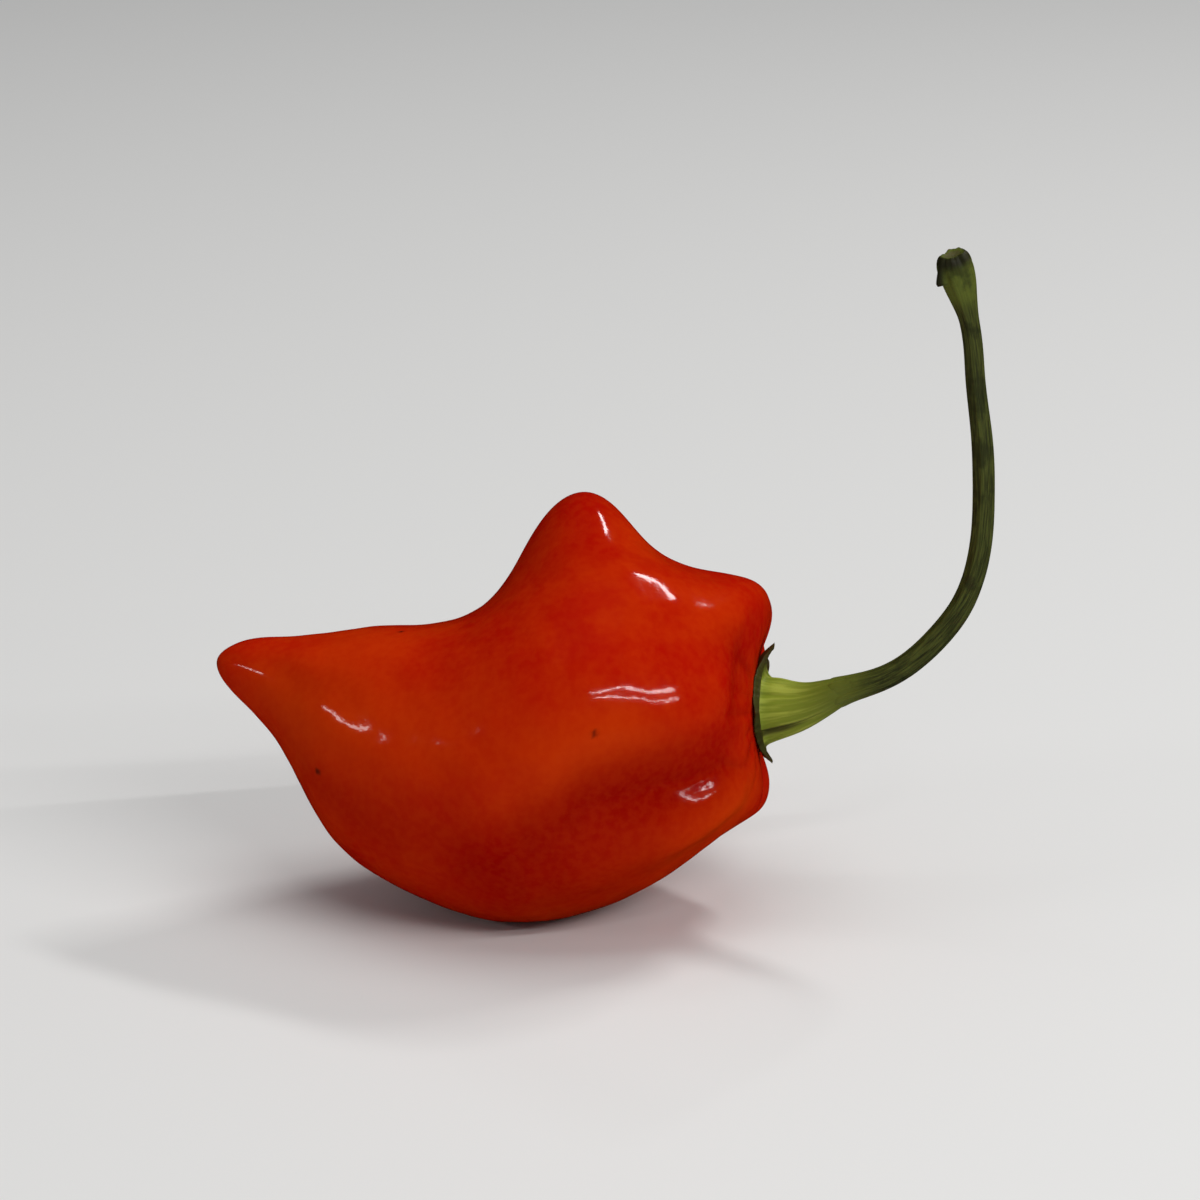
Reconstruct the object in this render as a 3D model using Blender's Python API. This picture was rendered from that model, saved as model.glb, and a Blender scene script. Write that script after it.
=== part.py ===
"""A ripe habanero pepper, as picked, lying on its side with its own stem still on.

Three pieces: the pod, the calyx that grips the hollow at the pod's stem end, and the stem.
+X points from the pod's tip to its stem end, +Z is up, and the origin is the middle of the
small flat spot that the pod rests on.
"""

import math

import bmesh
import bpy
import numpy as np

MM = 0.001

# The pod lies along X. Its stem end's foremost points are at SHOULDER, and its own "up"
# leans back from the vertical by ROLL. PIECE_GAP is left between neighbouring pieces.
SHOULDER = np.array([21.7, 0.6, 18.2]) * MM
ROLL = math.radians(18.0)
UP = np.array([0.0, math.sin(ROLL), math.cos(ROLL)])
FRONT = np.array([0.0, -math.cos(ROLL), math.sin(ROLL)])
PIECE_GAP = 0.3 * MM

# Sections of the pod from the floor of its stem hollow to its tip, in millimetres:
# (distance from the shoulders, mean radius, rise of the section's middle)
POD_SECTIONS = (
    (1.6, 0.0, 0.0),
    (1.4, 2.4, 0.0),
    (1.1, 4.6, 0.0),
    (0.4, 7.0, 0.0),
    (0.8, 9.7, -0.1),
    (3.2, 11.3, -0.4),
    (7.4, 13.2, -1.2),
    (11.8, 15.4, -1.6),
    (16.3, 16.8, -2.2),
    (20.8, 16.7, -3.3),
    (25.6, 15.2, -4.5),
    (30.4, 13.2, -4.8),
    (35.0, 11.3, -4.1),
    (39.3, 8.8, -2.5),
    (42.3, 5.8, 0.2),
    (44.4, 4.0, 1.9),
    (46.6, 2.6, 2.9),
    (48.2, 1.3, 3.4),
    (48.8, 0.0, 3.6),
)

# The stem end faces a little to the front: its skin is set back by these shares of the
# radius squared over LEAN_RADIUS, and less and less up to section END_LEAN_LAST
END_LEAN = (0.24, 0.24)
LEAN_RADIUS = 10.0 * MM
END_LEAN_LAST = 6.5

# Creases between the lobes: how much of the depth is a sharp fold, then stations of
# (section number, angle, depth, half width). Angles are in degrees from the pod's up,
# turning towards its front. Depths are in millimetres, and half widths in degrees.
POD_CREASES = {
    "front_high": (
        0.1,
        ((1, 62, 0.0, 14), (3, 60, 0.4, 14), (5, 60, 0.2, 15), (8.2, 56, 0.3, 16), (10, 52, 0.0, 18)),
    ),
    "front_low": (
        0.25,
        (
            (1, 134, 0.0, 13),
            (3, 130, 0.6, 13),
            (5, 118, 1.5, 12),
            (6.6, 113, 1.7, 12),
            (8.0, 113, 1.3, 14),
            (9.1, 121, 0.9, 15),
            (10.2, 134, 0.5, 17),
            (11.4, 150, 0.0, 18),
        ),
    ),
    "under_nose": (
        0.1,
        ((9.4, 124, 0.0, 17), (11.0, 111, 0.3, 18), (12.6, 97, 0.5, 18), (15, 108, 0.0, 20)),
    ),
    "back_low": (
        0.4,
        (
            (1, 236, 0.0, 12),
            (3, 236, 1.6, 12),
            (7, 232, 1.7, 12),
            (11, 226, 0.9, 13),
            (15, 228, 0.4, 18),
            (17, 228, 0.0, 20),
        ),
    ),
    "back_high": (
        0.4,
        (
            (1, 318, 0.0, 12),
            (3, 320, 1.5, 11),
            (7, 326, 1.6, 12),
            (11, 318, 1.1, 14),
            (14, 330, 0.5, 18),
            (17, 330, 0.0, 20),
        ),
    ),
    "back_pucker": (0.4, ((1, 278, 0.0, 9), (3, 278, 0.7, 9), (5, 281, 0.5, 10), (7.5, 284, 0.0, 12))),
    "low_pucker": (0.4, ((1, 186, 0.0, 9), (3, 186, 0.6, 9), (5, 184, 0.4, 10), (7, 182, 0.0, 12))),
}

# Swellings and dents: (section number, angle, sections reached, degrees reached, height)
POD_SWELLINGS = {
    "horn": (8.25, 1, 0.72, 13, 4.3),
    "saddle_behind_horn": (10.2, 6, 1.0, 26, -2.0),
    "upper_ridge": (6.6, 40, 1.3, 14, 0.8),
    "front_shoulder": (6.0, 88, 1.2, 20, 0.85),
    "low_front_shoulder": (3.4, 87, 1.2, 30, -0.3),
    "top_shoulder": (5.0, 12, 0.9, 20, 0.5),
    "front_lobe": (8.3, 80, 2.2, 24, 0.5),
    "low_front_lobe": (5.6, 131, 1.5, 10, 1.8),
    "flat_belly": (9.5, 178, 2.2, 30, -1.0),
    "low_corner": (4.6, 168, 1.0, 26, -0.7),
    "back_lobe": (8.8, 276, 1.8, 24, 1.58),
    "back_dent": (6.6, 300, 0.9, 16, -1.0),
    "back_tip_dent": (12.2, 256, 1.2, 24, -0.9),
}

POD_RINGS = 60
POD_SIDES = 66

# Middle line of the stem in millimetres from the middle of the calyx's rim: (out, back, up).
# The first points lie inside the calyx.
STEM_LINE = (
    (0.0, 0.0, -0.4),
    (3.2, -0.95, 0.2),
    (6.5, -1.8, 1.65),
    (9.9, -2.5, 3.05),
    (13.0, -3.0, 5.05),
    (15.7, -3.35, 8.0),
    (17.6, -3.6, 11.3),
    (18.6, -3.65, 15.4),
    (18.8, -3.5, 20.4),
    (18.5, -3.2, 25.4),
    (17.85, -2.9, 30.6),
    (17.05, -2.8, 36.3),
    (15.1, -3.3, 43.1),
)
RIM_DEPTH = 1.1 * MM
JOINT = 6.9

# Calyx from the stem's joint to the foot of its cup: (distance along the middle line, radius)
CUP_SECTIONS = (
    (JOINT - 0.3, 0.0),
    (JOINT - 0.3, 0.9),
    (JOINT - 0.35, 1.3),
    (JOINT - 0.8, 1.47),
    (5.3, 1.7),
    (3.6, 2.15),
    (1.9, 2.62),
    (0.7, 3.0),
)
RIM_RADIUS = 4.0
RIM_THICKNESS = 0.8

# Teeth of the calyx's rim: (angle, reach beyond the rim, half width). Their tips curl off
# the skin by TOOTH_CURL.
TOOTH_CURL = 0.85
CALYX_TEETH = ((12, 1.8, 20), (98, 0.8, 15), (170, 1.5, 17), (243, 1.5, 14), (315, 1.5, 14))
# Furrows between the cup's ribs: (angle, depth as a share of the radius)
CUP_FURROWS = ((60, 0.06), (138, 0.17), (210, 0.10), (279, 0.10), (350, 0.08))
FURROW_WIDTH = 11
RIB_HEIGHT = 0.03
CALYX_RINGS = 24
CALYX_SIDES = 60

# Stem from the joint to its cut end: (distance along the middle line, radius)
STEM_SECTIONS = (
    (JOINT, 1.32),
    (JOINT + 0.6, 1.3),
    (JOINT + 1.4, 1.2),
    (JOINT + 2.8, 1.1),
    (12.4, 1.02),
    (18.0, 0.98),
    (24.0, 0.96),
    (30.0, 0.94),
    (36.0, 0.90),
    (41.0, 0.85),
    (45.8, 0.83),
    (47.6, 0.92),
    (49.0, 1.14),
    (50.2, 1.34),
    (51.3, 1.46),
    (52.3, 1.42),
    (53.0, 1.15),
)
STEM_POINTS = 52

SKIN_COLOR = (0.44, 0.02, 0.002)
CALYX_COLOR = (0.19, 0.22, 0.027)
STEM_COLOR = (0.05, 0.056, 0.011)


def closed_curve(points, at):
    """Smooth closed curve through the points, read at `at`, with one unit from point to point."""
    points = np.asarray(points, float)
    count = len(points)
    own = np.arange(count)
    blend = np.zeros((count, count))
    blend[own, own] = 4 / 6
    blend[own, (own + 1) % count] = 1 / 6
    blend[own, own - 1] = 1 / 6
    poles = np.linalg.solve(blend, points)
    first = np.floor(at).astype(int)
    f = (at - first)[..., None]
    shares = (
        (1 - f) ** 3 / 6,
        (3 * f**3 - 6 * f**2 + 4) / 6,
        (-3 * f**3 + 3 * f**2 + 3 * f + 1) / 6,
        f**3 / 6,
    )
    return sum(s * poles[(first + k) % count] for k, s in zip((-1, 0, 1, 2), shares))


def open_curve(points, at):
    """The same from the first point to the last, as a closed curve that comes back the same way."""
    points = np.asarray(points, float)
    return closed_curve(np.concatenate([points, points[-2:0:-1]]), at)


def smooth_step(x):
    x = np.clip(x, 0, 1)
    return x * x * (3 - 2 * x)


def angle_from(theta, middle):
    """Signed angle in degrees from `middle` to theta."""
    return (np.degrees(theta) - middle + 180) % 360 - 180


def pod_profile(number):
    """Distance along, radius and rise at a section number, which need not be whole."""
    sections = np.array(POD_SECTIONS) * MM
    mirrored = sections[-2:0:-1] * (1, -1, 1)
    return closed_curve(np.vstack([sections, mirrored]), number)


def along_crease(stations, number):
    """Angle, depth and half width of a crease at each section number, eased between its stations."""
    stations = np.array(stations, float)
    place = np.interp(number, stations[:, 0], np.arange(len(stations)))
    first = np.minimum(place.astype(int), len(stations) - 2)
    f = smooth_step(place - first)[..., None]
    values = stations[first, 1:] * (1 - f) + stations[first + 1, 1:] * f
    return np.moveaxis(values, -1, 0)


def pod_relief(number, radius, theta):
    """Height of the skin over the plain pod: creases, swellings and dents."""
    relief = np.zeros_like(radius)
    for sharp, stations in POD_CREASES.values():
        angle, depth, width = along_crease(stations, number)
        off = angle_from(theta, angle) / width
        fold = 1 / (1 + (2.2 * off) ** 2) ** 1.5
        relief -= depth * ((1 - sharp) * np.exp(-0.5 * off**2) + sharp * fold)
    for middle, angle, reach, spread, height in POD_SWELLINGS.values():
        off = ((number - middle) / reach) ** 2 + (angle_from(theta, angle) / spread) ** 2
        relief += height * np.exp(-0.5 * off)
    return relief * MM * smooth_step((radius / MM - 2.0) / 5.0)


def pod_surface(number, theta, lift=0.0):
    """Points on the pod's skin, or `lift` above it, in the part's frame."""
    along, radius, rise = np.moveaxis(pod_profile(number), -1, 0)
    slope = (pod_profile(number + 1e-3) - pod_profile(number - 1e-3))[..., :2]
    slope /= np.linalg.norm(slope, axis=-1, keepdims=True)
    height = pod_relief(number, radius, theta) + lift
    lean = END_LEAN[0] * np.sin(theta) + END_LEAN[1] * np.sin(theta) ** 2
    along = along + lean * radius**2 / LEAN_RADIUS * smooth_step((END_LEAN_LAST - number) / 4)
    along = along - height * slope[..., 1]
    radius = radius + height * slope[..., 0]
    points = SHOULDER - along[..., None] * np.array([1.0, 0.0, 0.0])
    points = points + (rise + radius * np.cos(theta))[..., None] * UP
    return points + (radius * np.sin(theta))[..., None] * FRONT


def stem_line(distance):
    """Point and direction of the stem's middle line at a distance along it in millimetres."""
    fine = open_curve(STEM_LINE, np.linspace(0, len(STEM_LINE) - 1, 400))
    length = np.concatenate([[0.0], np.cumsum(np.linalg.norm(np.diff(fine, axis=0), axis=1))])
    points = np.stack([np.interp(distance, length, fine[:, k]) for k in range(3)], axis=-1)
    ahead = np.stack([np.interp(distance + 0.8, length, fine[:, k]) for k in range(3)], axis=-1)
    behind = np.stack([np.interp(distance - 0.8, length, fine[:, k]) for k in range(3)], axis=-1)
    direction = (ahead - behind) / np.linalg.norm(ahead - behind, axis=-1, keepdims=True)
    start = SHOULDER - (RIM_DEPTH, 0.0, 0.0)
    return start + points * MM, direction


def around_stem(distance, radius, theta):
    """Points at a radius in metres round the stem's middle line, angle 0 on its upper side."""
    middle, direction = stem_line(distance)
    above = np.cross(FRONT, direction)
    above /= np.linalg.norm(above, axis=-1, keepdims=True)
    aside = np.cross(direction, above)
    reach = radius[..., None]
    return middle + reach * (np.cos(theta)[..., None] * above + np.sin(theta)[..., None] * aside)


def tooth(theta):
    """Reach of the calyx's teeth beyond its rim at each angle, in millimetres."""
    reach = np.zeros_like(theta)
    for angle, height, width in CALYX_TEETH:
        reach += height * np.exp(-np.abs(angle_from(theta, angle) / width) ** 1.4)
    return reach


def ribs(theta):
    """Height of the cup's ribs and furrows at each angle, as a share of the radius."""
    height = np.full_like(theta, RIB_HEIGHT)
    for angle, depth in CUP_FURROWS:
        height -= depth * np.exp(-np.abs(angle_from(theta, angle) / FURROW_WIDTH) ** 1.3)
    return height


def hollow_number(radius):
    """Section number of the pod's stem hollow at a radius in millimetres."""
    numbers = np.linspace(0, 3, 200)
    return np.interp(radius, pod_profile(numbers)[:, 1] / MM, numbers)


def calyx_surface(share, theta):
    """Points on the calyx: from the stem's joint down its cup, out to the rim and back beneath."""
    reach = tooth(theta)
    edge = RIM_RADIUS + reach
    curl = TOOTH_CURL * np.clip(reach / 1.5, 0, 1) ** 1.2
    foot = CUP_SECTIONS[-1][1]
    rows = []
    for distance, radius in CUP_SECTIONS:
        fade = np.clip((JOINT + 0.3 - distance) / 3.0, 0, 1)
        ribbed = radius * MM * (1 + fade * ribs(theta))
        rows.append(around_stem(np.full_like(theta, distance), ribbed, theta))
    for radius, height in (
        (foot + 0.55 * (edge - foot), RIM_THICKNESS),
        (edge - 0.2, RIM_THICKNESS - 0.1 + curl),
        (edge, RIM_THICKNESS / 2 + curl),
        (edge - 0.15, curl),
        (edge * 0.7, 0.0),
        (edge * 0.35, 0.0),
        (edge * 0.0, 0.0),
    ):
        rows.append(pod_surface(hollow_number(radius), theta, PIECE_GAP + height * MM))
    shares = open_curve(np.eye(len(rows)), share * (len(rows) - 1))
    return np.einsum("nr,rnk->nk", shares, rows)


def clear_scene():
    for obj in list(bpy.data.objects):
        bpy.data.objects.remove(obj)


def material(name, color, roughness):
    made = bpy.data.materials.new(name)
    made.use_nodes = True
    shader = made.node_tree.nodes["Principled BSDF"]
    shader.inputs["Base Color"].default_value = (*color, 1)
    shader.inputs["Roughness"].default_value = roughness
    return made


def wrapped_ball(name, sides, rings, surface, skin, collection):
    """A closed piece: a ball whose vertices are moved to surface(share from pole to pole, angle)."""
    bm = bmesh.new()
    bmesh.ops.create_uvsphere(bm, u_segments=sides, v_segments=rings, radius=1)
    co = np.array([vertex.co for vertex in bm.verts])
    theta = np.arctan2(co[:, 1], co[:, 0])
    share = np.arccos(np.clip(co[:, 2], -1, 1)) / math.pi
    for vertex, point in zip(bm.verts, surface(share, theta)):
        vertex.co = point
    bmesh.ops.recalc_face_normals(bm, faces=bm.faces)
    mesh = bpy.data.meshes.new(name)
    bm.to_mesh(mesh)
    bm.free()
    mesh.materials.append(skin)
    made = bpy.data.objects.new(name, mesh)
    collection.objects.link(made)
    return made


def flatten_below(made):
    """Cut the piece off at the floor, which leaves it a small flat spot to rest on."""
    bm = bmesh.new()
    bm.from_mesh(made.data)
    bmesh.ops.triangulate(bm, faces=bm.faces)
    cut = bmesh.ops.bisect_plane(
        bm,
        geom=bm.verts[:] + bm.edges[:] + bm.faces[:],
        dist=0.02 * MM,
        plane_co=(0, 0, 0),
        plane_no=(0, 0, -1),
        clear_outer=True,
    )
    edges = [item for item in cut["geom_cut"] if isinstance(item, bmesh.types.BMEdge)]
    for vertex in {vertex for edge in edges for vertex in edge.verts}:
        vertex.co.z = 0.0
    bmesh.ops.contextual_create(bm, geom=edges)
    bmesh.ops.recalc_face_normals(bm, faces=bm.faces)
    bm.to_mesh(made.data)
    bm.free()


def build_pod(collection):
    skin = material("pod_skin", SKIN_COLOR, 0.3)
    last = len(POD_SECTIONS) - 1
    pod = wrapped_ball(
        "pod", POD_SIDES, POD_RINGS, lambda share, theta: pod_surface(share * last, theta), skin, collection
    )
    flatten_below(pod)
    return pod


def build_calyx(collection):
    green = material("calyx_green", CALYX_COLOR, 0.55)
    return wrapped_ball("calyx", CALYX_SIDES, CALYX_RINGS, calyx_surface, green, collection)


def build_stem(collection):
    curve = bpy.data.curves.new("stem", "CURVE")
    curve.dimensions = "3D"
    curve.bevel_depth = MM
    curve.bevel_resolution = 5
    curve.use_fill_caps = True
    spline = curve.splines.new("POLY")
    spline.points.add(STEM_POINTS - 1)
    rows = open_curve(STEM_SECTIONS, np.linspace(0, len(STEM_SECTIONS) - 1, STEM_POINTS))
    middles, _ = stem_line(rows[:, 0])
    for point, middle, row in zip(spline.points, middles, rows):
        point.co = (*middle, 1)
        point.radius = row[1]
    curve.materials.append(material("stem_green", STEM_COLOR, 0.6))
    stem = bpy.data.objects.new("stem", curve)
    collection.objects.link(stem)
    return stem


def build():
    clear_scene()
    collection = bpy.data.collections.new("habanero_pepper")
    bpy.context.scene.collection.children.link(collection)
    build_pod(collection)
    build_calyx(collection)
    build_stem(collection)


if __name__ == "__main__":
    build()
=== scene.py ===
import math

import bpy
import numpy as np
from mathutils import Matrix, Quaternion, Vector


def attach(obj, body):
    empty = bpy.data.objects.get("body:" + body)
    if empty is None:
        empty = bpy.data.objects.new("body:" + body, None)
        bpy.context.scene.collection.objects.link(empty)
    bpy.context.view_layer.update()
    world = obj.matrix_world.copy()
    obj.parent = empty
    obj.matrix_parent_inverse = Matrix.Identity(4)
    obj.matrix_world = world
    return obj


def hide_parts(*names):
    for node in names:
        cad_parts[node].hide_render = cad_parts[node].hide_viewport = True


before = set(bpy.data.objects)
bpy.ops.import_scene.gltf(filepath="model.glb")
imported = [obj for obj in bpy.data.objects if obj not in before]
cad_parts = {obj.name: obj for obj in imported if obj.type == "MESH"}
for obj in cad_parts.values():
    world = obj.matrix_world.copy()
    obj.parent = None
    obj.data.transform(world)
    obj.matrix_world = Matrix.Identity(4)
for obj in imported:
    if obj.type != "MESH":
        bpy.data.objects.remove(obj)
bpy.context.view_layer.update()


# Pod: the hollow berry of a ripe habanero, one waxy skin over crisp flesh. Lobes meet in
# creases that start in the stem hollow, one lobe has grown out into a blunt horn, and the
# nose tapers up to a small scar. It lies on its lowest lobe. Sizes are in millimetres.
MM = 0.001
SHOULDER = np.array([21.7, 0.6, 18.2])
POD_ROLL = math.radians(18.0)
OUT = np.array([1.0, 0.0, 0.0])
UP = np.array([0.0, math.sin(POD_ROLL), math.cos(POD_ROLL)])
FRONT = np.array([0.0, -math.cos(POD_ROLL), math.sin(POD_ROLL)])

# From the floor of the stem hollow to the tip: distance from the shoulders, mean radius,
# and how far the section's middle has risen
POD_SECTIONS = np.array(
    (
        (1.6, 0.0, 0.0),
        (1.4, 2.4, 0.0),
        (1.1, 4.6, 0.0),
        (0.4, 7.0, 0.0),
        (0.8, 9.7, -0.1),
        (3.2, 11.3, -0.4),
        (7.4, 13.2, -1.2),
        (11.8, 15.4, -1.6),
        (16.3, 16.8, -2.2),
        (20.8, 16.7, -3.3),
        (25.6, 15.2, -4.5),
        (30.4, 13.2, -4.8),
        (35.0, 11.3, -4.1),
        (39.3, 8.8, -2.5),
        (42.3, 5.8, 0.2),
        (44.4, 4.0, 1.9),
        (46.6, 2.6, 2.9),
        (48.2, 1.3, 3.4),
        (48.8, 0.0, 3.6),
    )
)

# The stem end faces a little to the front: its skin is set back by these shares of the
# radius squared over LEAN_RADIUS, and less and less over the LEAN_FADE sections that end
# at END_LEAN_LAST
END_LEAN = (0.24, 0.24)
LEAN_RADIUS = 10.0
LEAN_FADE = 4.0
END_LEAN_LAST = 6.5

# Creases: how much of the depth is a sharp fold, then stations of section number, angle,
# depth and half width. Angles are in degrees from the pod's up, turning towards its front.
POD_CREASES = {
    "front_high": (
        0.1,
        (
            (1, 62, 0.0, 14),
            (3, 60, 0.4, 14),
            (5, 60, 0.2, 15),
            (8.2, 56, 0.3, 16),
            (10, 52, 0.0, 18),
        ),
    ),
    "front_low": (
        0.25,
        (
            (1, 134, 0.0, 13),
            (3, 130, 0.6, 13),
            (5, 118, 1.5, 12),
            (6.6, 113, 1.7, 12),
            (8.0, 113, 1.3, 14),
            (9.1, 121, 0.9, 15),
            (10.2, 134, 0.5, 17),
            (11.4, 150, 0.0, 18),
        ),
    ),
    "under_nose": (
        0.1,
        ((9.4, 124, 0.0, 17), (11.0, 111, 0.3, 18), (12.6, 97, 0.5, 18), (15, 108, 0.0, 20)),
    ),
    "back_low": (
        0.4,
        (
            (1, 236, 0.0, 12),
            (3, 236, 1.6, 12),
            (7, 232, 1.7, 12),
            (11, 226, 0.9, 13),
            (15, 228, 0.4, 18),
            (17, 228, 0.0, 20),
        ),
    ),
    "back_high": (
        0.4,
        (
            (1, 318, 0.0, 12),
            (3, 320, 1.5, 11),
            (7, 326, 1.6, 12),
            (11, 318, 1.1, 14),
            (14, 330, 0.5, 18),
            (17, 330, 0.0, 20),
        ),
    ),
    "back_pucker": (
        0.4,
        ((1, 278, 0.0, 9), (3, 278, 0.7, 9), (5, 281, 0.5, 10), (7.5, 284, 0.0, 12)),
    ),
    "low_pucker": (
        0.4,
        ((1, 186, 0.0, 9), (3, 186, 0.6, 9), (5, 184, 0.4, 10), (7, 182, 0.0, 12)),
    ),
}

# Swellings and dents: section number, angle, sections reached, degrees reached, height
POD_SWELLINGS = {
    "horn": (8.25, 1, 0.72, 13, 4.3),
    "saddle_behind_horn": (10.2, 6, 1.0, 26, -2.0),
    "upper_ridge": (6.6, 40, 1.3, 14, 0.8),
    "front_shoulder": (6.0, 88, 1.2, 20, 0.85),
    "low_front_shoulder": (3.4, 87, 1.2, 30, -0.3),
    "top_shoulder": (5.0, 12, 0.9, 20, 0.5),
    "front_lobe": (8.3, 80, 2.2, 24, 0.5),
    "low_front_lobe": (5.6, 131, 1.5, 10, 1.8),
    "flat_belly": (9.5, 178, 2.2, 30, -1.0),
    "low_corner": (4.6, 168, 1.0, 26, -0.7),
    "back_lobe": (8.8, 276, 1.8, 24, 1.5),
    "back_dent": (6.6, 300, 0.9, 16, -1.0),
    "back_tip_dent": (12.2, 256, 1.2, 24, -0.9),
}
# Where the skin is more orange: section number, angle, sections reached, degrees reached, share
POD_ORANGE = (
    (7.7, 99, 1.3, 14, 0.8),
    (5.4, 44, 0.9, 16, 0.5),
    (4.2, 139, 1.0, 16, 0.6),
    (5.8, 138, 1.3, 12, 0.6),
    (13.6, 86, 1.6, 36, 0.7),
    (10.6, 78, 1.2, 18, 0.35),
    (5.4, 215, 1.4, 24, 0.6),
    (9.4, 300, 1.6, 24, 0.6),
    (8.0, 250, 1.2, 14, 0.5),
    (12.8, 330, 1.4, 30, 0.5),
)
# Spots painted a darker red, in the same terms: painted shade where the pod falls in shade, partly
# the skin's own deeper red
POD_RED_AND_SHADE = (
    (5.6, 103, 0.9, 8, 0.8),
    (6.9, 107, 1.0, 8, 0.8),
    (8.3, 116, 0.9, 9, 0.6),
    (7.6, 138, 1.4, 12, 0.9),
    (9.2, 128, 1.0, 14, 0.7),
    (4.6, 58, 0.7, 10, 0.6),
    (9.0, 190, 2.6, 22, 0.5),
    (11.0, 222, 1.6, 16, 0.5),
    (6.2, 336, 1.0, 16, 0.5),
    (12.3, 119, 1.3, 13, 0.7),
    (13.4, 58, 1.4, 12, 0.5),
    (8.3, 14, 0.7, 18, 0.6),
    (3.7, 94, 0.6, 34, 0.6),
)
# Small dark scars: section number, angle, radius
SPECKS = (
    (7.88, 90, 0.15),
    (13.1, 114, 0.2),
    (6.4, 300, 0.2),
    (10.6, 262, 0.15),
    (11.5, 20, 0.16),
    (7.2, 200, 0.2),
)
SPECK_EDGE = 0.35
TIP_SCAR_RADIUS = 0.55

# Wrinkles round the stem hollow, and low waves all over: how many, the shortest and the
# longest, their slope and the seed they are drawn with
PUCKERS = 19
PUCKER_DEPTH = 0.10
PUCKER_START = 1.6
PUCKER_SEED = 11
RIPPLES = (26, 7.0, 16.0, 0.022, 4)
FINE_RIPPLES = (30, 1.6, 4.4, 0.034, 8)
POD_ROWS = 300
POD_COLUMNS = 330


def closed_curve(points, at):
    """Smooth closed curve through the points, one unit from each to the next.

    A uniform cubic B-spline whose poles solve pole[i-1]/6 + 4 pole[i]/6 + pole[i+1]/6 = point[i].
    """
    points = np.asarray(points, float)
    count = len(points)
    own = np.arange(count)
    blend = np.zeros((count, count))
    blend[own, own] = 4 / 6
    blend[own, (own + 1) % count] = 1 / 6
    blend[own, own - 1] = 1 / 6
    poles = np.linalg.solve(blend, points)
    first = np.floor(at).astype(int)
    f = (at - first)[..., None]
    shares = (
        (1 - f) ** 3 / 6,
        (3 * f**3 - 6 * f**2 + 4) / 6,
        (-3 * f**3 + 3 * f**2 + 3 * f + 1) / 6,
        f**3 / 6,
    )
    return sum(s * poles[(first + k) % count] for k, s in zip((-1, 0, 1, 2), shares))


def smooth_step(x):
    """0 below 0, 1 above 1, and 3x^2 - 2x^3 between."""
    x = np.clip(x, 0, 1)
    return x * x * (3 - 2 * x)


def angle_from(theta, middle):
    """Signed angle in degrees from `middle` to theta, between -180 and 180."""
    return (np.degrees(theta) - middle + 180) % 360 - 180


def pod_profile(number):
    """Distance along, radius and rise: the closed curve through the sections and their mirror."""
    mirrored = POD_SECTIONS[-2:0:-1] * (1, -1, 1)
    return np.moveaxis(closed_curve(np.vstack([POD_SECTIONS, mirrored]), number), -1, 0)


def pod_wall(number, theta):
    """The plain pod, a turned shape, and its normals.

    point = shoulder - along OUT + rise UP + radius (cos theta UP + sin theta FRONT), where
    along grows by radius^2 x (a sin theta + b sin^2 theta) / LEAN_RADIUS at the stem end.
    """
    along, radius, rise = pod_profile(number)
    lean = END_LEAN[0] * np.sin(theta) + END_LEAN[1] * np.sin(theta) ** 2
    leaning = smooth_step((END_LEAN_LAST - number) / LEAN_FADE)
    along = along + lean * radius**2 / LEAN_RADIUS * leaning
    ahead = pod_profile(number + 1e-3)
    behind = pod_profile(number - 1e-3)
    slope = (ahead - behind)[:2]
    slope = slope / np.linalg.norm(slope, axis=0)
    round_about = np.cos(theta)[..., None] * UP + np.sin(theta)[..., None] * FRONT
    middle = SHOULDER - along[..., None] * OUT + rise[..., None] * UP
    points = middle + radius[..., None] * round_about
    normals = slope[1][..., None] * OUT + slope[0][..., None] * round_about
    return points, normals, radius


def crease_grooves(number, theta):
    """Total depth of the creases.

    Each is depth x ((1 - sharp) exp(-off^2 / 2) + sharp / (1 + (2.2 off)^2)^1.5), where off is
    the angle from its middle over its half width, and both run smoothly between its stations.
    """
    depth_here = np.zeros(np.broadcast(number, theta).shape)
    for sharp, stations in POD_CREASES.values():
        stations = np.array(stations, float)
        place = np.interp(number, stations[:, 0], np.arange(len(stations)))
        first = np.minimum(place.astype(int), len(stations) - 2)
        f = smooth_step(place - first)[..., None]
        values = stations[first, 1:] * (1 - f) + stations[first + 1, 1:] * f
        angle, depth, width = np.moveaxis(values, -1, 0)
        off = angle_from(theta, angle) / width
        fold = 1 / (1 + (2.2 * off) ** 2) ** 1.5
        depth_here += depth * ((1 - sharp) * np.exp(-0.5 * off**2) + sharp * fold)
    return depth_here


def gaussians(number, theta, rows):
    """Sum of Gaussian spots in section number and angle."""
    total = np.zeros(np.broadcast(number, theta).shape)
    for middle, angle, reach, spread, peak in rows:
        off = ((number - middle) / reach) ** 2 + (angle_from(theta, angle) / spread) ** 2
        total += peak * np.exp(-0.5 * off)
    return total


def swelling_heights(number, theta):
    """Height of the bumps and dents."""
    return gaussians(number, theta, POD_SWELLINGS.values())


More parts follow.
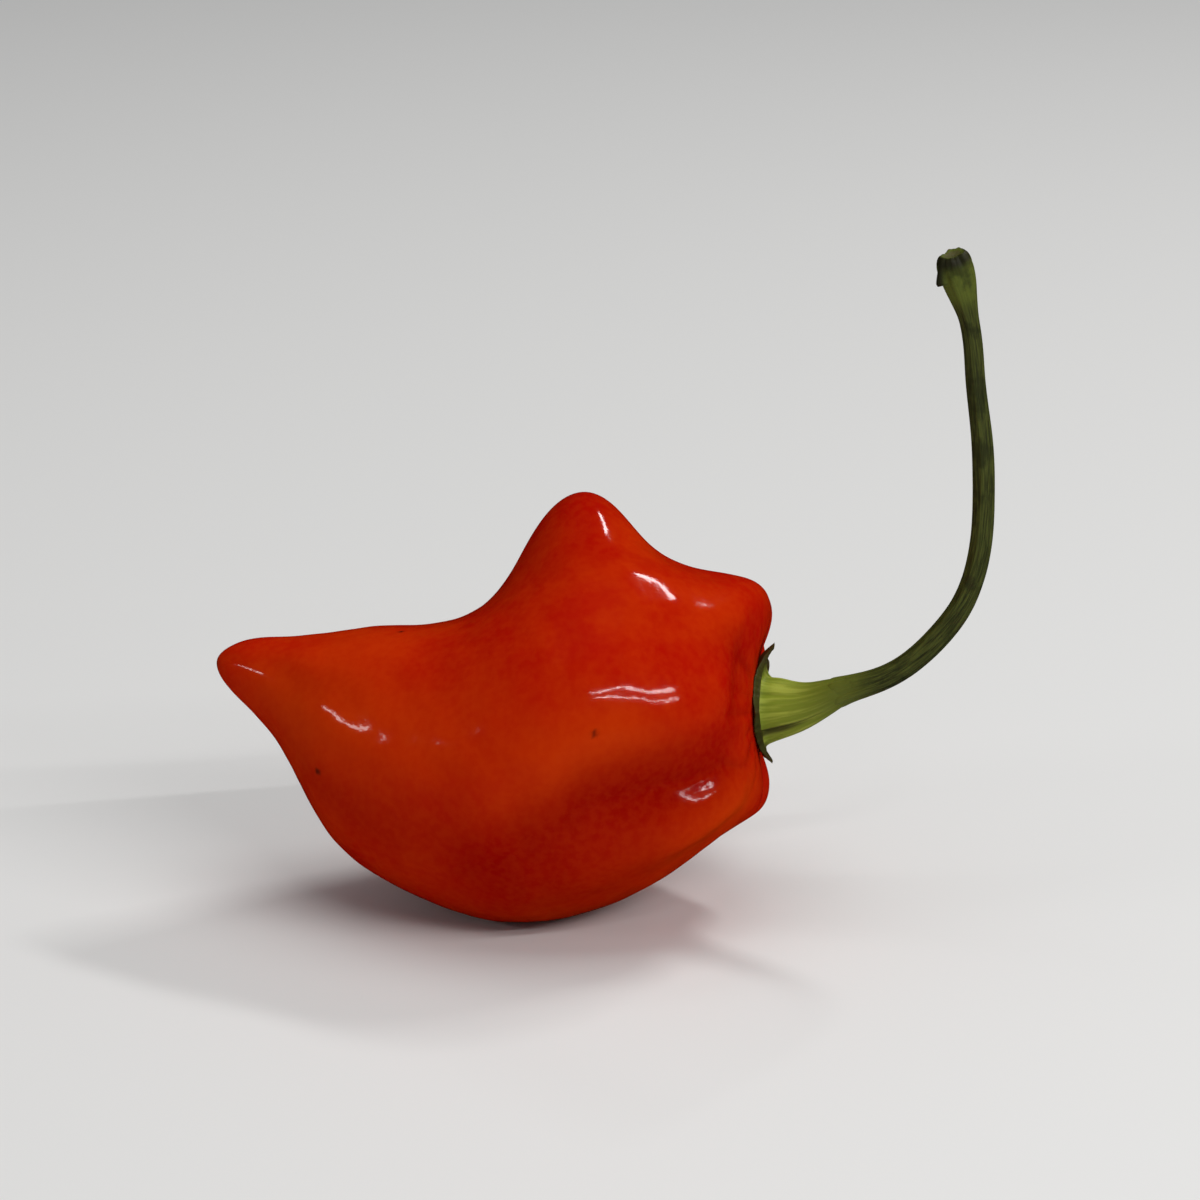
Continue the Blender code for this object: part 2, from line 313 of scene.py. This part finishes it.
def pucker_grooves(number, theta):
    """Short wrinkles out of the stem hollow: narrow Gaussian grooves in angle.

    Each drifts a few degrees a section, and fades out before the section that it reaches.
    """
    rng = np.random.default_rng(PUCKER_SEED)
    depth_here = np.zeros(np.broadcast(number, theta).shape)
    for k in range(PUCKERS):
        angle = 360 * (k + rng.uniform(-0.3, 0.3)) / PUCKERS
        width = rng.uniform(2.0, 4.5)
        reach = rng.uniform(3.6, 6.4)
        depth = PUCKER_DEPTH * rng.uniform(0.4, 1.5)
        drift = rng.uniform(-3, 3)
        fade = smooth_step(number - PUCKER_START) * smooth_step((reach - number) / 2.2)
        off = angle_from(theta, angle + drift * (number - 3)) / width
        depth_here += depth * fade * np.exp(-0.5 * off**2)
    return depth_here


def ripples(points, count, shortest, longest, slope, seed):
    """Low waves all over: a sum of plane sine waves of mixed directions and about one slope."""
    rng = np.random.default_rng(seed)
    height = np.zeros(points.shape[:-1])
    for _ in range(count):
        direction = rng.normal(size=3)
        direction /= np.linalg.norm(direction)
        length = rng.uniform(shortest, longest)
        phase = rng.uniform(0, 2 * math.pi)
        wave = np.sin(points @ direction * 2 * math.pi / length + phase)
        height += slope * length / (2 * math.pi) * wave
    return height / math.sqrt(count / 2)


def speck_spots(number, theta):
    """Small dark scars on the skin: 1 inside each spot, with an edge SPECK_EDGE wide."""
    points, _, _ = pod_wall(number, theta)
    spots = np.zeros(points.shape[:-1])
    for own_number, angle, size in SPECKS:
        middle, _, _ = pod_wall(np.array([own_number]), np.radians([float(angle)]))
        away = np.linalg.norm(points - middle[0], axis=-1)
        spots = np.maximum(spots, smooth_step((size + 0.25 - away) / SPECK_EDGE))
    return spots


def away_from_middle(radius):
    """0 up to 2 mm from the pod's middle line, where no relief fits, and 1 from 7 mm on."""
    return smooth_step((radius - 2.0) / 5.0)


def skin_mesh(name, points, marks):
    """A closed piece from a grid of points in millimetres, rows by columns.

    Columns join up round the piece, and the first and the last row close on one point each.
    `marks` are grids of numbers or of vectors that the material reads.
    """
    rows, columns = points.shape[:2]

    def on_vertices(grid):
        inner = grid[1:-1].reshape((rows - 2) * columns, -1)
        poles = [grid[k].reshape(columns, -1).mean(0) for k in (0, -1)]
        return np.vstack([inner, *poles])

    index = np.arange((rows - 2) * columns).reshape(rows - 2, columns)
    beside = np.roll(index, -1, axis=1)
    quads = np.stack([index[:-1], index[1:], beside[1:], beside[:-1]], axis=-1).reshape(-1, 4)
    start = np.full(columns, index.size)
    fans = np.vstack(
        [
            np.stack([start, index[0], beside[0]], axis=-1),
            np.stack([start + 1, beside[-1], index[-1]], axis=-1),
        ]
    )
    mesh = bpy.data.meshes.new(name)
    mesh.from_pydata((on_vertices(points) * MM).tolist(), [], quads.tolist() + fans.tolist())
    for mark, grid in marks.items():
        values = on_vertices(grid).astype(np.float32)
        kind, field = ("FLOAT_VECTOR", "vector") if values.shape[1] == 3 else ("FLOAT", "value")
        mesh.attributes.new(mark, kind, "POINT").data.foreach_set(field, values.ravel())
    mesh.shade_smooth()
    piece = bpy.data.objects.new(name, mesh)
    bpy.context.scene.collection.objects.link(piece)
    return piece


def pod_skin_points():
    """The pod's skin: the plain wall moved along its normals, and flat where it rests.

    height = swellings - creases - puckers + ripples + fine ripples, each less at the poles.
    """
    number = np.linspace(0, len(POD_SECTIONS) - 1, POD_ROWS)[:, None]
    theta = np.linspace(0, 2 * math.pi, POD_COLUMNS, endpoint=False)[None, :]
    points, normals, radius = pod_wall(number, theta)
    creases = crease_grooves(number, theta)
    puckers = pucker_grooves(number, theta)
    grown = away_from_middle(radius)
    height = grown * (swelling_heights(number, theta) - creases) - puckers
    off_poles = smooth_step(radius / 3.0)
    height = height + off_poles * ripples(points, *RIPPLES)
    height = height + off_poles * ripples(points, *FINE_RIPPLES)
    points = points + normals * height[..., None]
    points[..., 2] = np.maximum(points[..., 2], 0.0)
    marks = {
        # crease_shade: the creases and wrinkles, which the material paints a darker red as painted
        # shade
        "crease_shade": np.clip(creases * grown / 1.5 + puckers / 0.3, 0, 1),
        "orange": np.clip(gaussians(number, theta, POD_ORANGE), 0, 1),
        # red: spots of painted shade, partly the skin's own deeper red
        "red": np.clip(gaussians(number, theta, POD_RED_AND_SHADE), 0, 1),
        "speck": speck_spots(number, theta),
        "scar": np.exp(-((radius / TIP_SCAR_RADIUS) ** 2)) * (number > 10) + 0 * theta,
    }
    return points, marks


def node(tree, kind, values=(), **settings):
    """A new node with its settings and the values of its inputs."""
    made = tree.nodes.new(kind)
    for key, value in settings.items():
        setattr(made, key, value)
    for key, value in dict(values).items():
        made.inputs[key].default_value = value
    return made


def new_finish(name, **values):
    """A material with one Principled shader, and its node tree."""
    made = bpy.data.materials.new(name)
    made.use_nodes = True
    shader = made.node_tree.nodes["Principled BSDF"]
    for key, value in values.items():
        shader.inputs[key.replace("_", " ").title().replace("Ior", "IOR")].default_value = value
    return made, made.node_tree, shader


def mixed(tree, share, first, second):
    """Colour mixed from first (share 0) to second (share 1): each is a socket or a colour."""
    mix = node(tree, "ShaderNodeMix", data_type="RGBA")
    for key, value in ((0, share), (6, first), (7, second)):
        if isinstance(value, (tuple, float, int)):
            mix.inputs[key].default_value = (*value, 1) if isinstance(value, tuple) else value
        else:
            tree.links.new(value, mix.inputs[key])
    return mix.outputs[2]


def mark_of(tree, name, output="Fac"):
    """The mesh's own mark as a socket."""
    return node(tree, "ShaderNodeAttribute", attribute_name=name).outputs[output]


def noise_of(tree, vector, scale, detail=3.0, roughness=0.5):
    """Noise between about 0.3 and 0.7 on a vector socket."""
    values = {"Scale": scale, "Detail": detail, "Roughness": roughness}
    made = node(tree, "ShaderNodeTexNoise", values)
    tree.links.new(vector, made.inputs["Vector"])
    return made.outputs["Fac"]


def ranged(tree, value, low, high, to_low=0.0, to_high=1.0):
    """The value with low to high stretched to a new range, and held at its ends."""
    made = node(
        tree,
        "ShaderNodeMapRange",
        {"From Min": low, "From Max": high, "To Min": to_low, "To Max": to_high},
        interpolation_type="SMOOTHSTEP",
    )
    tree.links.new(value, made.inputs["Value"])
    return made.outputs["Result"]


def bumped(tree, height, distance, strength=1.0, normal=None):
    """A normal from a height that stands for `distance` metres between 0 and 1."""
    made = node(tree, "ShaderNodeBump", {"Distance": distance, "Strength": strength})
    tree.links.new(height, made.inputs["Height"])
    if normal:
        tree.links.new(normal, made.inputs["Normal"])
    return made.outputs["Normal"]


def waxy_skin():
    """Ripe habanero skin, waxed: orange-red, more orange on the nose, with painted shade in a
    darker red.
    """
    deep_red_and_shade = (0.26, 0.0006, 0.0002)
    orange_red = (0.41, 0.0045, 0.0007)
    orange = (0.55, 0.036, 0.0010)
    cell_orange = (0.70, 0.08, 0.006)
    speck_brown = (0.07, 0.006, 0.002)
    scar_brown = (0.10, 0.045, 0.012)
    made, tree, shader = new_finish(
        "pod_skin",
        specular_ior_level=0.0,
        subsurface_weight=0.06,
        subsurface_radius=(1.0, 0.10, 0.03),
        subsurface_scale=0.0012,
        coat_weight=0.55,
        coat_roughness=0.09,
        coat_ior=1.42,
    )
    place = node(tree, "ShaderNodeTexCoord").outputs["Object"]
    patches = ranged(tree, noise_of(tree, place, 60.0, 3.0, 0.55), 0.40, 0.66)
    mottle = ranged(tree, noise_of(tree, place, 260.0, 5.0, 0.6), 0.36, 0.68)
    color = mixed(tree, ranged(tree, patches, 0.0, 1.0, 0.0, 0.35), orange_red, orange)
    color = mixed(tree, ranged(tree, mottle, 0.0, 1.0, 0.0, 0.25), color, orange)
    color = mixed(tree, ranged(tree, mark_of(tree, "orange"), 0.0, 1.0, 0.0, 0.9), color, orange)
    # Painted shade: the creases and wrinkles darken towards a deep red
    color = mixed(tree, ranged(tree, mark_of(tree, "crease_shade"), 0.1, 1.0, 0.0, 0.8), color, deep_red_and_shade)
    # Painted shade: the red spots darken towards a deep red, partly the skin's own deeper red
    color = mixed(tree, ranged(tree, mark_of(tree, "red"), 0.0, 1.0, 0.0, 0.55), color, deep_red_and_shade)
    cells = ranged(tree, noise_of(tree, place, 1500.0, 2.0), 0.3, 0.7, 0.0, 0.08)
    color = mixed(tree, cells, color, cell_orange)
    color = mixed(tree, mark_of(tree, "speck"), color, speck_brown)
    color = mixed(tree, mark_of(tree, "scar"), color, scar_brown)
    tree.links.new(color, shader.inputs["Base Color"])
    dulled = ranged(tree, noise_of(tree, place, 260.0, 4.0), 0.3, 0.7, 0.30, 0.44)
    tree.links.new(dulled, shader.inputs["Roughness"])
    peel = bumped(tree, noise_of(tree, place, 900.0, 2.0), 0.00004, 0.5)
    pores = bumped(tree, noise_of(tree, place, 3200.0, 1.0), 0.000008, 0.6, peel)
    tree.links.new(pores, shader.inputs["Normal"])
    tree.links.new(pores, shader.inputs["Coat Normal"])
    return made


pod = skin_mesh("habanero_pod", *pod_skin_points())
pod.data.materials.append(waxy_skin())
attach(pod, "root")
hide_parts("pod")


# Calyx: the green cup that the flower left, grown onto the stem hollow's floor. Its rim
# lies on the skin and ends in five uneven teeth, and five low ribs run from the teeth up
# the cup to the ring where the stem begins.

# Middle line that the cup and the stem follow: out, back and up from the middle of the rim,
# which lies RIM_DEPTH in from the shoulders. The stem leaves the cup at JOINT along it.
STEM_LINE = np.array(
    (
        (0.0, 0.0, -0.4),
        (3.2, -0.95, 0.2),
        (6.5, -1.8, 1.65),
        (9.9, -2.5, 3.05),
        (13.0, -3.0, 5.05),
        (15.7, -3.35, 8.0),
        (17.6, -3.6, 11.3),
        (18.6, -3.65, 15.4),
        (18.8, -3.5, 20.4),
        (18.5, -3.2, 25.4),
        (17.85, -2.9, 30.6),
        (17.05, -2.8, 36.3),
        (15.1, -3.3, 43.1),
    )
)
RIM_DEPTH = 1.1
JOINT = 6.9

# Down the cup: distance along the stem's middle line, radius
CUP_SECTIONS = (
    (JOINT + 1.0, 0.0),
    (JOINT + 1.0, 0.7),
    (JOINT + 0.9, 1.1),
    (JOINT, 1.38),
    (5.3, 1.7),
    (3.6, 2.15),
    (1.9, 2.62),
    (0.7, 3.0),
)
RIM_RADIUS = 4.0
RIM_THICKNESS = 0.62
# Teeth of the rim: angle, reach beyond the rim, half width. They curl off the skin and thin
# out towards their tips, by this much where they reach FULL_TOOTH or more.
TOOTH_CURL = 0.85
TOOTH_THINNING = 0.28
FULL_TOOTH = 1.5
CALYX_TEETH = ((12, 1.8, 20), (98, 0.8, 15), (170, 1.5, 17), (243, 1.5, 14), (315, 1.5, 14))
RAGGED_WAVES = (7, 11, 17, 26, 41)
RAGGED_SEED = 3
# Furrows between the cup's ribs: angle, depth as a share of the radius
CUP_FURROWS = ((60, 0.06), (138, 0.17), (210, 0.10), (279, 0.10), (350, 0.08))
FURROW_WIDTH = 11
# Ribs and veins of the cup: their height as a share of the radius
RIB_HEIGHT = 0.03
VEINS = 31
VEIN_HEIGHT = 0.004
# Height of the underside over the skin, into which it sinks a little
UNDERSIDE = -0.05
CALYX_ROWS = 150
CALYX_COLUMNS = 320


def open_curve(points, at):
    """Smooth curve from the first point to the last: a closed one that comes back its own way."""
    points = np.asarray(points, float)
    return closed_curve(np.concatenate([points, points[-2:0:-1]]), at)


def along_stem(distance, values):
    """Values of the stem line's fine points at a distance along it in millimetres."""
    length = np.concatenate([[0.0], np.cumsum(np.linalg.norm(np.diff(values, axis=0), axis=1))])
    return np.stack([np.interp(distance, length, values[:, k]) for k in range(3)], axis=-1)


def around_stem(distance, radius, theta):
    """Points round the stem's middle line.

    point = middle + radius (cos theta above + sin theta aside), where above and aside are
    square to the line and above leans towards its upper side.
    """
    fine = open_curve(STEM_LINE, np.linspace(0, len(STEM_LINE) - 1, 1600))
    middle = along_stem(distance, fine)
    direction = along_stem(distance + 0.8, fine) - along_stem(distance - 0.8, fine)
    direction /= np.linalg.norm(direction, axis=-1, keepdims=True)
    above = np.cross(FRONT, direction)
    above /= np.linalg.norm(above, axis=-1, keepdims=True)
    aside = np.cross(direction, above)
    spoke = np.cos(theta)[..., None] * above + np.sin(theta)[..., None] * aside
    return SHOULDER - RIM_DEPTH * OUT + middle + radius[..., None] * spoke


def calyx_points():
    """The calyx: for each angle, a smooth curve down the cup, out over the rim and back beneath.

    Each tooth reaches out by reach x exp(-|angle off / half width|^1.25), and each furrow
    deepens by depth x exp(-|angle off / half width|^1.3). Over the rim and beneath, points
    stand at a height over the pod's wall with its relief.
    """
    rng = np.random.default_rng(RAGGED_SEED)
    theta = np.linspace(0, 2 * math.pi, CALYX_COLUMNS, endpoint=False)
    reach = np.zeros_like(theta)
    for angle, height, width in CALYX_TEETH:
        reach += height * np.exp(-np.abs(angle_from(theta, angle) / width) ** 1.25)
    ragged = np.zeros_like(theta)
    for waves in RAGGED_WAVES:
        ragged += rng.uniform(0.02, 0.05) * np.sin(waves * theta + rng.uniform(0, 6.28))
    edge = RIM_RADIUS + reach + ragged
    out_on_tooth = np.clip(reach / FULL_TOOTH, 0, 1)
    curl = TOOTH_CURL * out_on_tooth**1.2
    thinner = TOOTH_THINNING * out_on_tooth**2
    furrows = np.zeros_like(theta)
    for angle, depth in CUP_FURROWS:
        furrows += depth * np.exp(-np.abs(angle_from(theta, angle) / FURROW_WIDTH) ** 1.3)
    ribs = RIB_HEIGHT - furrows + VEIN_HEIGHT * np.cos(VEINS * theta)
    numbers = np.linspace(0, 3, 400)
    radii = pod_profile(numbers)[1]
    foot = CUP_SECTIONS[-1][1]
    rows = []
    for distance, radius in CUP_SECTIONS:
        fade = max(0.0, min(1.0, (JOINT + 0.3 - distance) / 3.0))
        rows.append(around_stem(np.full_like(theta, distance), radius * (1 + ribs * fade), theta))
    for radius, height in (
        (foot + 0.55 * (edge - foot), RIM_THICKNESS),
        (edge - 0.22, RIM_THICKNESS - 0.14 + curl - thinner),
        (edge, RIM_THICKNESS * 0.45 + curl - 0.5 * thinner),
        (edge - 0.12, 0.02 + curl),
        (edge * 0.7, UNDERSIDE),
        (edge * 0.35, UNDERSIDE),
        (edge * 0.0, UNDERSIDE),
    ):
        number = np.interp(radius, radii, numbers)
        points, normals, own_radius = pod_wall(number, theta)
        relief = swelling_heights(number, theta) - crease_grooves(number, theta)
        relief = away_from_middle(own_radius) * relief
        rows.append(points + normals * (relief + height)[:, None])
    number = np.linspace(0, len(rows) - 1, CALYX_ROWS)
    shares = open_curve(np.eye(len(rows)), number)
    points = np.einsum("nr,rtk->ntk", shares, np.array(rows))
    # 0 where the cup begins, 1 on the rim's edge and more beneath it
    edge_row = len(CUP_SECTIONS) + 2
    down = np.clip(number / edge_row, 0, 2)[:, None] + 0 * theta
    tooth_share = smooth_step(reach / 1.2)[None, :] * smooth_step((down - 0.60) / 0.2)
    round_cup = [1.6 * np.cos(theta) + 0 * down, 1.6 * np.sin(theta) + 0 * down]
    grain = np.stack([*round_cup, down * 0.9], axis=-1)
    # Painted shade: the furrows between the ribs are coloured dark
    furrow_shade_share = np.clip(furrows / 0.12, 0, 1)[None, :] * smooth_step((down - 0.3) / 0.3)
    return points, {"down": down, "tooth": tooth_share, "furrow": furrow_shade_share, "grain": grain}


def green_cup():
    """Fresh calyx: a yellow-green cup, veined lengthwise, with brown teeth, and painted shade:
    dark furrows and a dark band at the rim.
    """
    near_stem = (0.110, 0.130, 0.012)
    bright = (0.190, 0.235, 0.014)
    pale = (0.350, 0.390, 0.050)
    dark = (0.032, 0.028, 0.003)
    tip_brown = (0.050, 0.030, 0.006)
    made, tree, shader = new_finish(
        "calyx_green",
        roughness=0.5,
        specular_ior_level=0.2,
        subsurface_weight=0.12,
        subsurface_radius=(0.6, 1.0, 0.2),
        subsurface_scale=0.0008,
    )
    place = node(tree, "ShaderNodeTexCoord").outputs["Object"]
    veins = noise_of(tree, mark_of(tree, "grain", "Vector"), 3.2, 4.0)
    color = mixed(tree, ranged(tree, veins, 0.40, 0.64), bright, pale)
    mottle = ranged(tree, noise_of(tree, place, 700.0, 3.0), 0.45, 0.7, 0.0, 0.35)
    color = mixed(tree, mottle, color, bright)
    # Painted shade: the furrows between the ribs darken
    color = mixed(tree, ranged(tree, mark_of(tree, "furrow"), 0.3, 1.0, 0.0, 0.85), color, dark)
    color = mixed(tree, ranged(tree, mark_of(tree, "down"), 0.25, 0.6, 1.0, 0.0), color, near_stem)
    # Painted shade: a dark band round the rim where it meets the skin
    color = mixed(tree, ranged(tree, mark_of(tree, "down"), 0.72, 0.88, 0.0, 0.95), color, dark)
    color = mixed(tree, ranged(tree, mark_of(tree, "tooth"), 0.3, 0.9, 0.0, 0.7), color, tip_brown)
    tree.links.new(color, shader.inputs["Base Color"])
    fibre = bumped(tree, veins, 0.00006, 0.6)
    grain = bumped(tree, noise_of(tree, place, 2600.0, 2.0), 0.00002, 0.6, fibre)
    tree.links.new(grain, shader.inputs["Normal"])
    return made


calyx = skin_mesh("habanero_calyx", *calyx_points())
calyx.data.materials.append(green_cup())
# Mirrored in the wax it would show as a hard-edged green patch on the pod
calyx.visible_glossy = False
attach(calyx, "root")
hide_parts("calyx")


# Stem: the long green fruit stalk, five-sided and furrowed, which leaves the cup level,
# sweeps up and leans back over the pod. Its end swells where it was snapped off the plant,
# and the torn face has dried brown.
STEM_SECTIONS = (
    (JOINT - 0.6, 0.0),
    (JOINT - 0.6, 0.7),
    (JOINT - 0.4, 1.1),
    (JOINT, 1.3),
    (JOINT + 0.6, 1.3),
    (JOINT + 1.4, 1.2),
    (JOINT + 2.8, 1.1),
    (12.4, 1.02),
    (18.0, 0.98),
    (24.0, 0.96),
    (30.0, 0.94),
    (36.0, 0.90),
    (41.0, 0.85),
    (45.8, 0.83),
    (47.6, 0.92),
    (49.0, 1.14),
    (50.2, 1.34),
    (51.3, 1.44),
    (52.2, 1.42),
    (52.85, 1.2),
    (53.0, 0.9),
    (52.8, 0.45),
    (52.7, 0.0),
)
# The snapped end: where the tear begins, the section numbers of the torn face's rim and of
# the face, and the place and size of a flake of fibre that stands out from the rim
TORN_FROM = 51.0
TORN_RIM = 18.9
TORN_FACE = 20.0
FLAKE_DISTANCE = 51.5
FLAKE_ANGLE = 20
FLAKE_LENGTH = 0.6
FLAKE_WIDTH = 15
FLAKE_REACH = 0.75
STEM_ROWS = 560
STEM_COLUMNS = 72


def stem_points():
    """The stem: rings along its middle line.

    radius = section radius x (1 + five soft corners + finer furrows + slow swells), and the
    corners turn a little round the line as it goes. The torn end adds low sine waves, and
    its flake is a Gaussian that bends back along the stem.
    """
    number = np.linspace(0, len(STEM_SECTIONS) - 1, STEM_ROWS)[:, None]
    theta = np.linspace(0, 2 * math.pi, STEM_COLUMNS, endpoint=False)[None, :]
    distance, radius = np.moveaxis(open_curve(STEM_SECTIONS, number), -1, 0)
    turn = theta + 0.25 * np.sin(distance / 8.0) + 0.1
    corners = 0.055 * np.cos(5 * turn) + 0.018 * np.cos(10 * turn + 1.0)
    furrows = 0.014 * np.cos(17 * turn + 0.3 * np.sin(distance / 2.1))
    swells = 0.022 * np.sin(distance / 2.6 + 0.7) + 0.016 * np.sin(distance / 1.3 + np.cos(theta))
    body = smooth_step((radius - 0.5) / 0.6)
    radius = radius * (1 + body * (corners + furrows + swells))
    torn = smooth_step(distance - TORN_FROM) * body
    rough = 0.05 * np.sin(3 * theta + 1.0) + 0.02 * np.sin(16 * theta)
    rough = rough + 0.035 * np.sin(7 * theta + 2 * distance)
    off_flake = ((distance - FLAKE_DISTANCE) / FLAKE_LENGTH) ** 2
    off_flake = off_flake + (angle_from(theta, FLAKE_ANGLE) / FLAKE_WIDTH) ** 2
    flake = np.exp(-off_flake) * body
    bent_distance = distance + torn * rough - FLAKE_LENGTH * flake
    points = around_stem(bent_distance, radius + torn * rough + FLAKE_REACH * flake, theta)
    grain = np.stack([2 * np.cos(turn), 2 * np.sin(turn), distance * 0.12 + 0 * theta], axis=-1)
    marks = {
        "distance": distance + 0 * theta,
        "corner": np.cos(5 * turn),
        "grain": grain,
        "rim": np.exp(-(((number - TORN_RIM) / 1.2) ** 2)) + flake,
        "face": smooth_step((number - TORN_FACE) / 0.8) + 0 * theta,
    }
    return points[::-1], {name: grid[::-1] for name, grid in marks.items()}


def green_stalk():
    """Stalk: dark green with paler corners, yellow-green at the cup, brown at the torn end."""
    dark = (0.014, 0.017, 0.0015)
    ridge = (0.085, 0.098, 0.013)
    near_cup = (0.110, 0.130, 0.012)
    neck_green = (0.110, 0.135, 0.012)
    brown = (0.040, 0.030, 0.006)
    rim_black = (0.012, 0.010, 0.003)
    pith = (0.085, 0.080, 0.022)
    made, tree, shader = new_finish(
        "stem_green",
        roughness=0.55,
        specular_ior_level=0.25,
        subsurface_weight=0.05,
        subsurface_scale=0.0005,
    )
    place = node(tree, "ShaderNodeTexCoord").outputs["Object"]
    fibre = noise_of(tree, mark_of(tree, "grain", "Vector"), 4.0, 4.0)
    blotches = noise_of(tree, place, 300.0, 4.0, 0.65)
    color = mixed(tree, ranged(tree, fibre, 0.35, 0.68, 0.15, 0.85), dark, ridge)
    color = mixed(tree, ranged(tree, mark_of(tree, "corner"), 0.2, 1.0, 0.0, 0.3), color, ridge)
    near_end = ranged(tree, mark_of(tree, "distance"), 47.4, 49.6, 0.0, 0.8)
    color = mixed(tree, near_end, color, neck_green)
    color = mixed(tree, ranged(tree, blotches, 0.52, 0.66, 0.0, 0.6), color, dark)
    color = mixed(tree, ranged(tree, mark_of(tree, "distance"), 11.5, 7.6), color, near_cup)
    spots = ranged(tree, noise_of(tree, place, 420.0, 4.0, 0.7), 0.58, 0.7, 0.0, 0.5)
    color = mixed(tree, spots, color, brown)
    color = mixed(tree, ranged(tree, mark_of(tree, "face"), 0.0, 1.0), color, pith)
    color = mixed(tree, ranged(tree, mark_of(tree, "rim"), 0.2, 0.9, 0.0, 0.9), color, rim_black)
    tree.links.new(color, shader.inputs["Base Color"])
    long_fibre = bumped(tree, fibre, 0.00010, 0.8)
    grain = bumped(tree, noise_of(tree, place, 3000.0, 3.0), 0.00003, 0.6, long_fibre)
    tree.links.new(grain, shader.inputs["Normal"])
    return made


stem = skin_mesh("habanero_stem", *stem_points())
stem.data.materials.append(green_stalk())
# Kept out of the wax's reflections, as the calyx is
stem.visible_glossy = False
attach(stem, "root")
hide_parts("stem")


# Floor: a wide plain table top, matt and nearly white. It doesn't show in the wax either,
# so the skin keeps its colour down to where it rests.
FLOOR_HALF = 4.0
floor_signs = ((-1, -1), (1, -1), (1, 1), (-1, 1))
floor_corners = [(FLOOR_HALF * x, FLOOR_HALF * y, 0) for x, y in floor_signs]
floor_mesh = bpy.data.meshes.new("floor")
floor_mesh.from_pydata(floor_corners, [], [(0, 1, 2, 3)])
floor = bpy.data.objects.new("floor", floor_mesh)
bpy.context.scene.collection.objects.link(floor)
floor_finish, _, _ = new_finish("pale_floor", base_color=(0.80, 0.795, 0.78, 1), roughness=0.6)
floor_mesh.materials.append(floor_finish)
floor.visible_glossy = False


# Light: a pair of long tubes above and to the right of the pepper, a broad soft box straight
# over it, a short tube behind and another at its left, and an even grey surround. The wax
# mirrors the tubes alone.
def soft_box(name, place, target, width, height, power, roll=0.0, glints=True):
    """A rectangular area light that faces the target, turned by `roll` degrees on its own axis.

    It shows in glossy surfaces only if it glints.
    """
    lamp = bpy.data.lights.new(name, "AREA")
    lamp.shape = "RECTANGLE"
    lamp.size = width
    lamp.size_y = height
    lamp.energy = power
    made = bpy.data.objects.new(name, lamp)
    bpy.context.scene.collection.objects.link(made)
    made.location = place
    made.rotation_mode = "QUATERNION"
    level = (Vector(target) - Vector(place)).to_track_quat("-Z", "Y")
    made.rotation_quaternion = level @ Quaternion((0, 0, 1), math.radians(roll))
    made.visible_glossy = glints


MIDDLE = (0.0, 0.0, 0.02)
soft_box("key_high", (0.335, -0.395, 0.45), MIDDLE, 0.60, 0.012, 1.3, roll=-18)
soft_box("key_low", (0.375, -0.435, 0.36), MIDDLE, 0.60, 0.012, 1.0, roll=-18)
soft_box("overhead", (0.0, 0.0, 0.80), MIDDLE, 0.60, 0.60, 2.2, glints=False)
soft_box("behind", (0.30, 0.28, 0.50), MIDDLE, 0.20, 0.05, 1.0)
soft_box("left_fill", (-0.60, -0.25, 0.25), MIDDLE, 0.16, 0.03, 0.3)
surround = bpy.data.worlds.new("surround")
surround.use_nodes = True
surround.node_tree.nodes["Background"].inputs["Color"].default_value = (0.95, 0.97, 1.0, 1)
surround.node_tree.nodes["Background"].inputs["Strength"].default_value = 0.20
surround.cycles_visibility.glossy = False
bpy.context.scene.world = surround
bpy.context.scene.view_settings.view_transform = "Standard"


# Camera: in front of the pod and 18 degrees above it, as the pepper is seen in the photograph.
VIEW_ELEVATION = math.radians(18.0)
VIEW_DISTANCE = 0.42
LENS = 145
VIEW_TARGET = Vector((0.0065, 0.0, 0.0280))
camera = bpy.data.objects.new("camera", bpy.data.cameras.new("camera"))
bpy.context.scene.collection.objects.link(camera)
camera.data.lens = LENS
camera.data.clip_start = 0.01
back = Vector((0.0, -math.cos(VIEW_ELEVATION), math.sin(VIEW_ELEVATION)))
camera.location = VIEW_TARGET + VIEW_DISTANCE * back
camera.rotation_mode = "QUATERNION"
camera.rotation_quaternion = (-back).to_track_quat("-Z", "Y")
bpy.context.scene.camera = camera
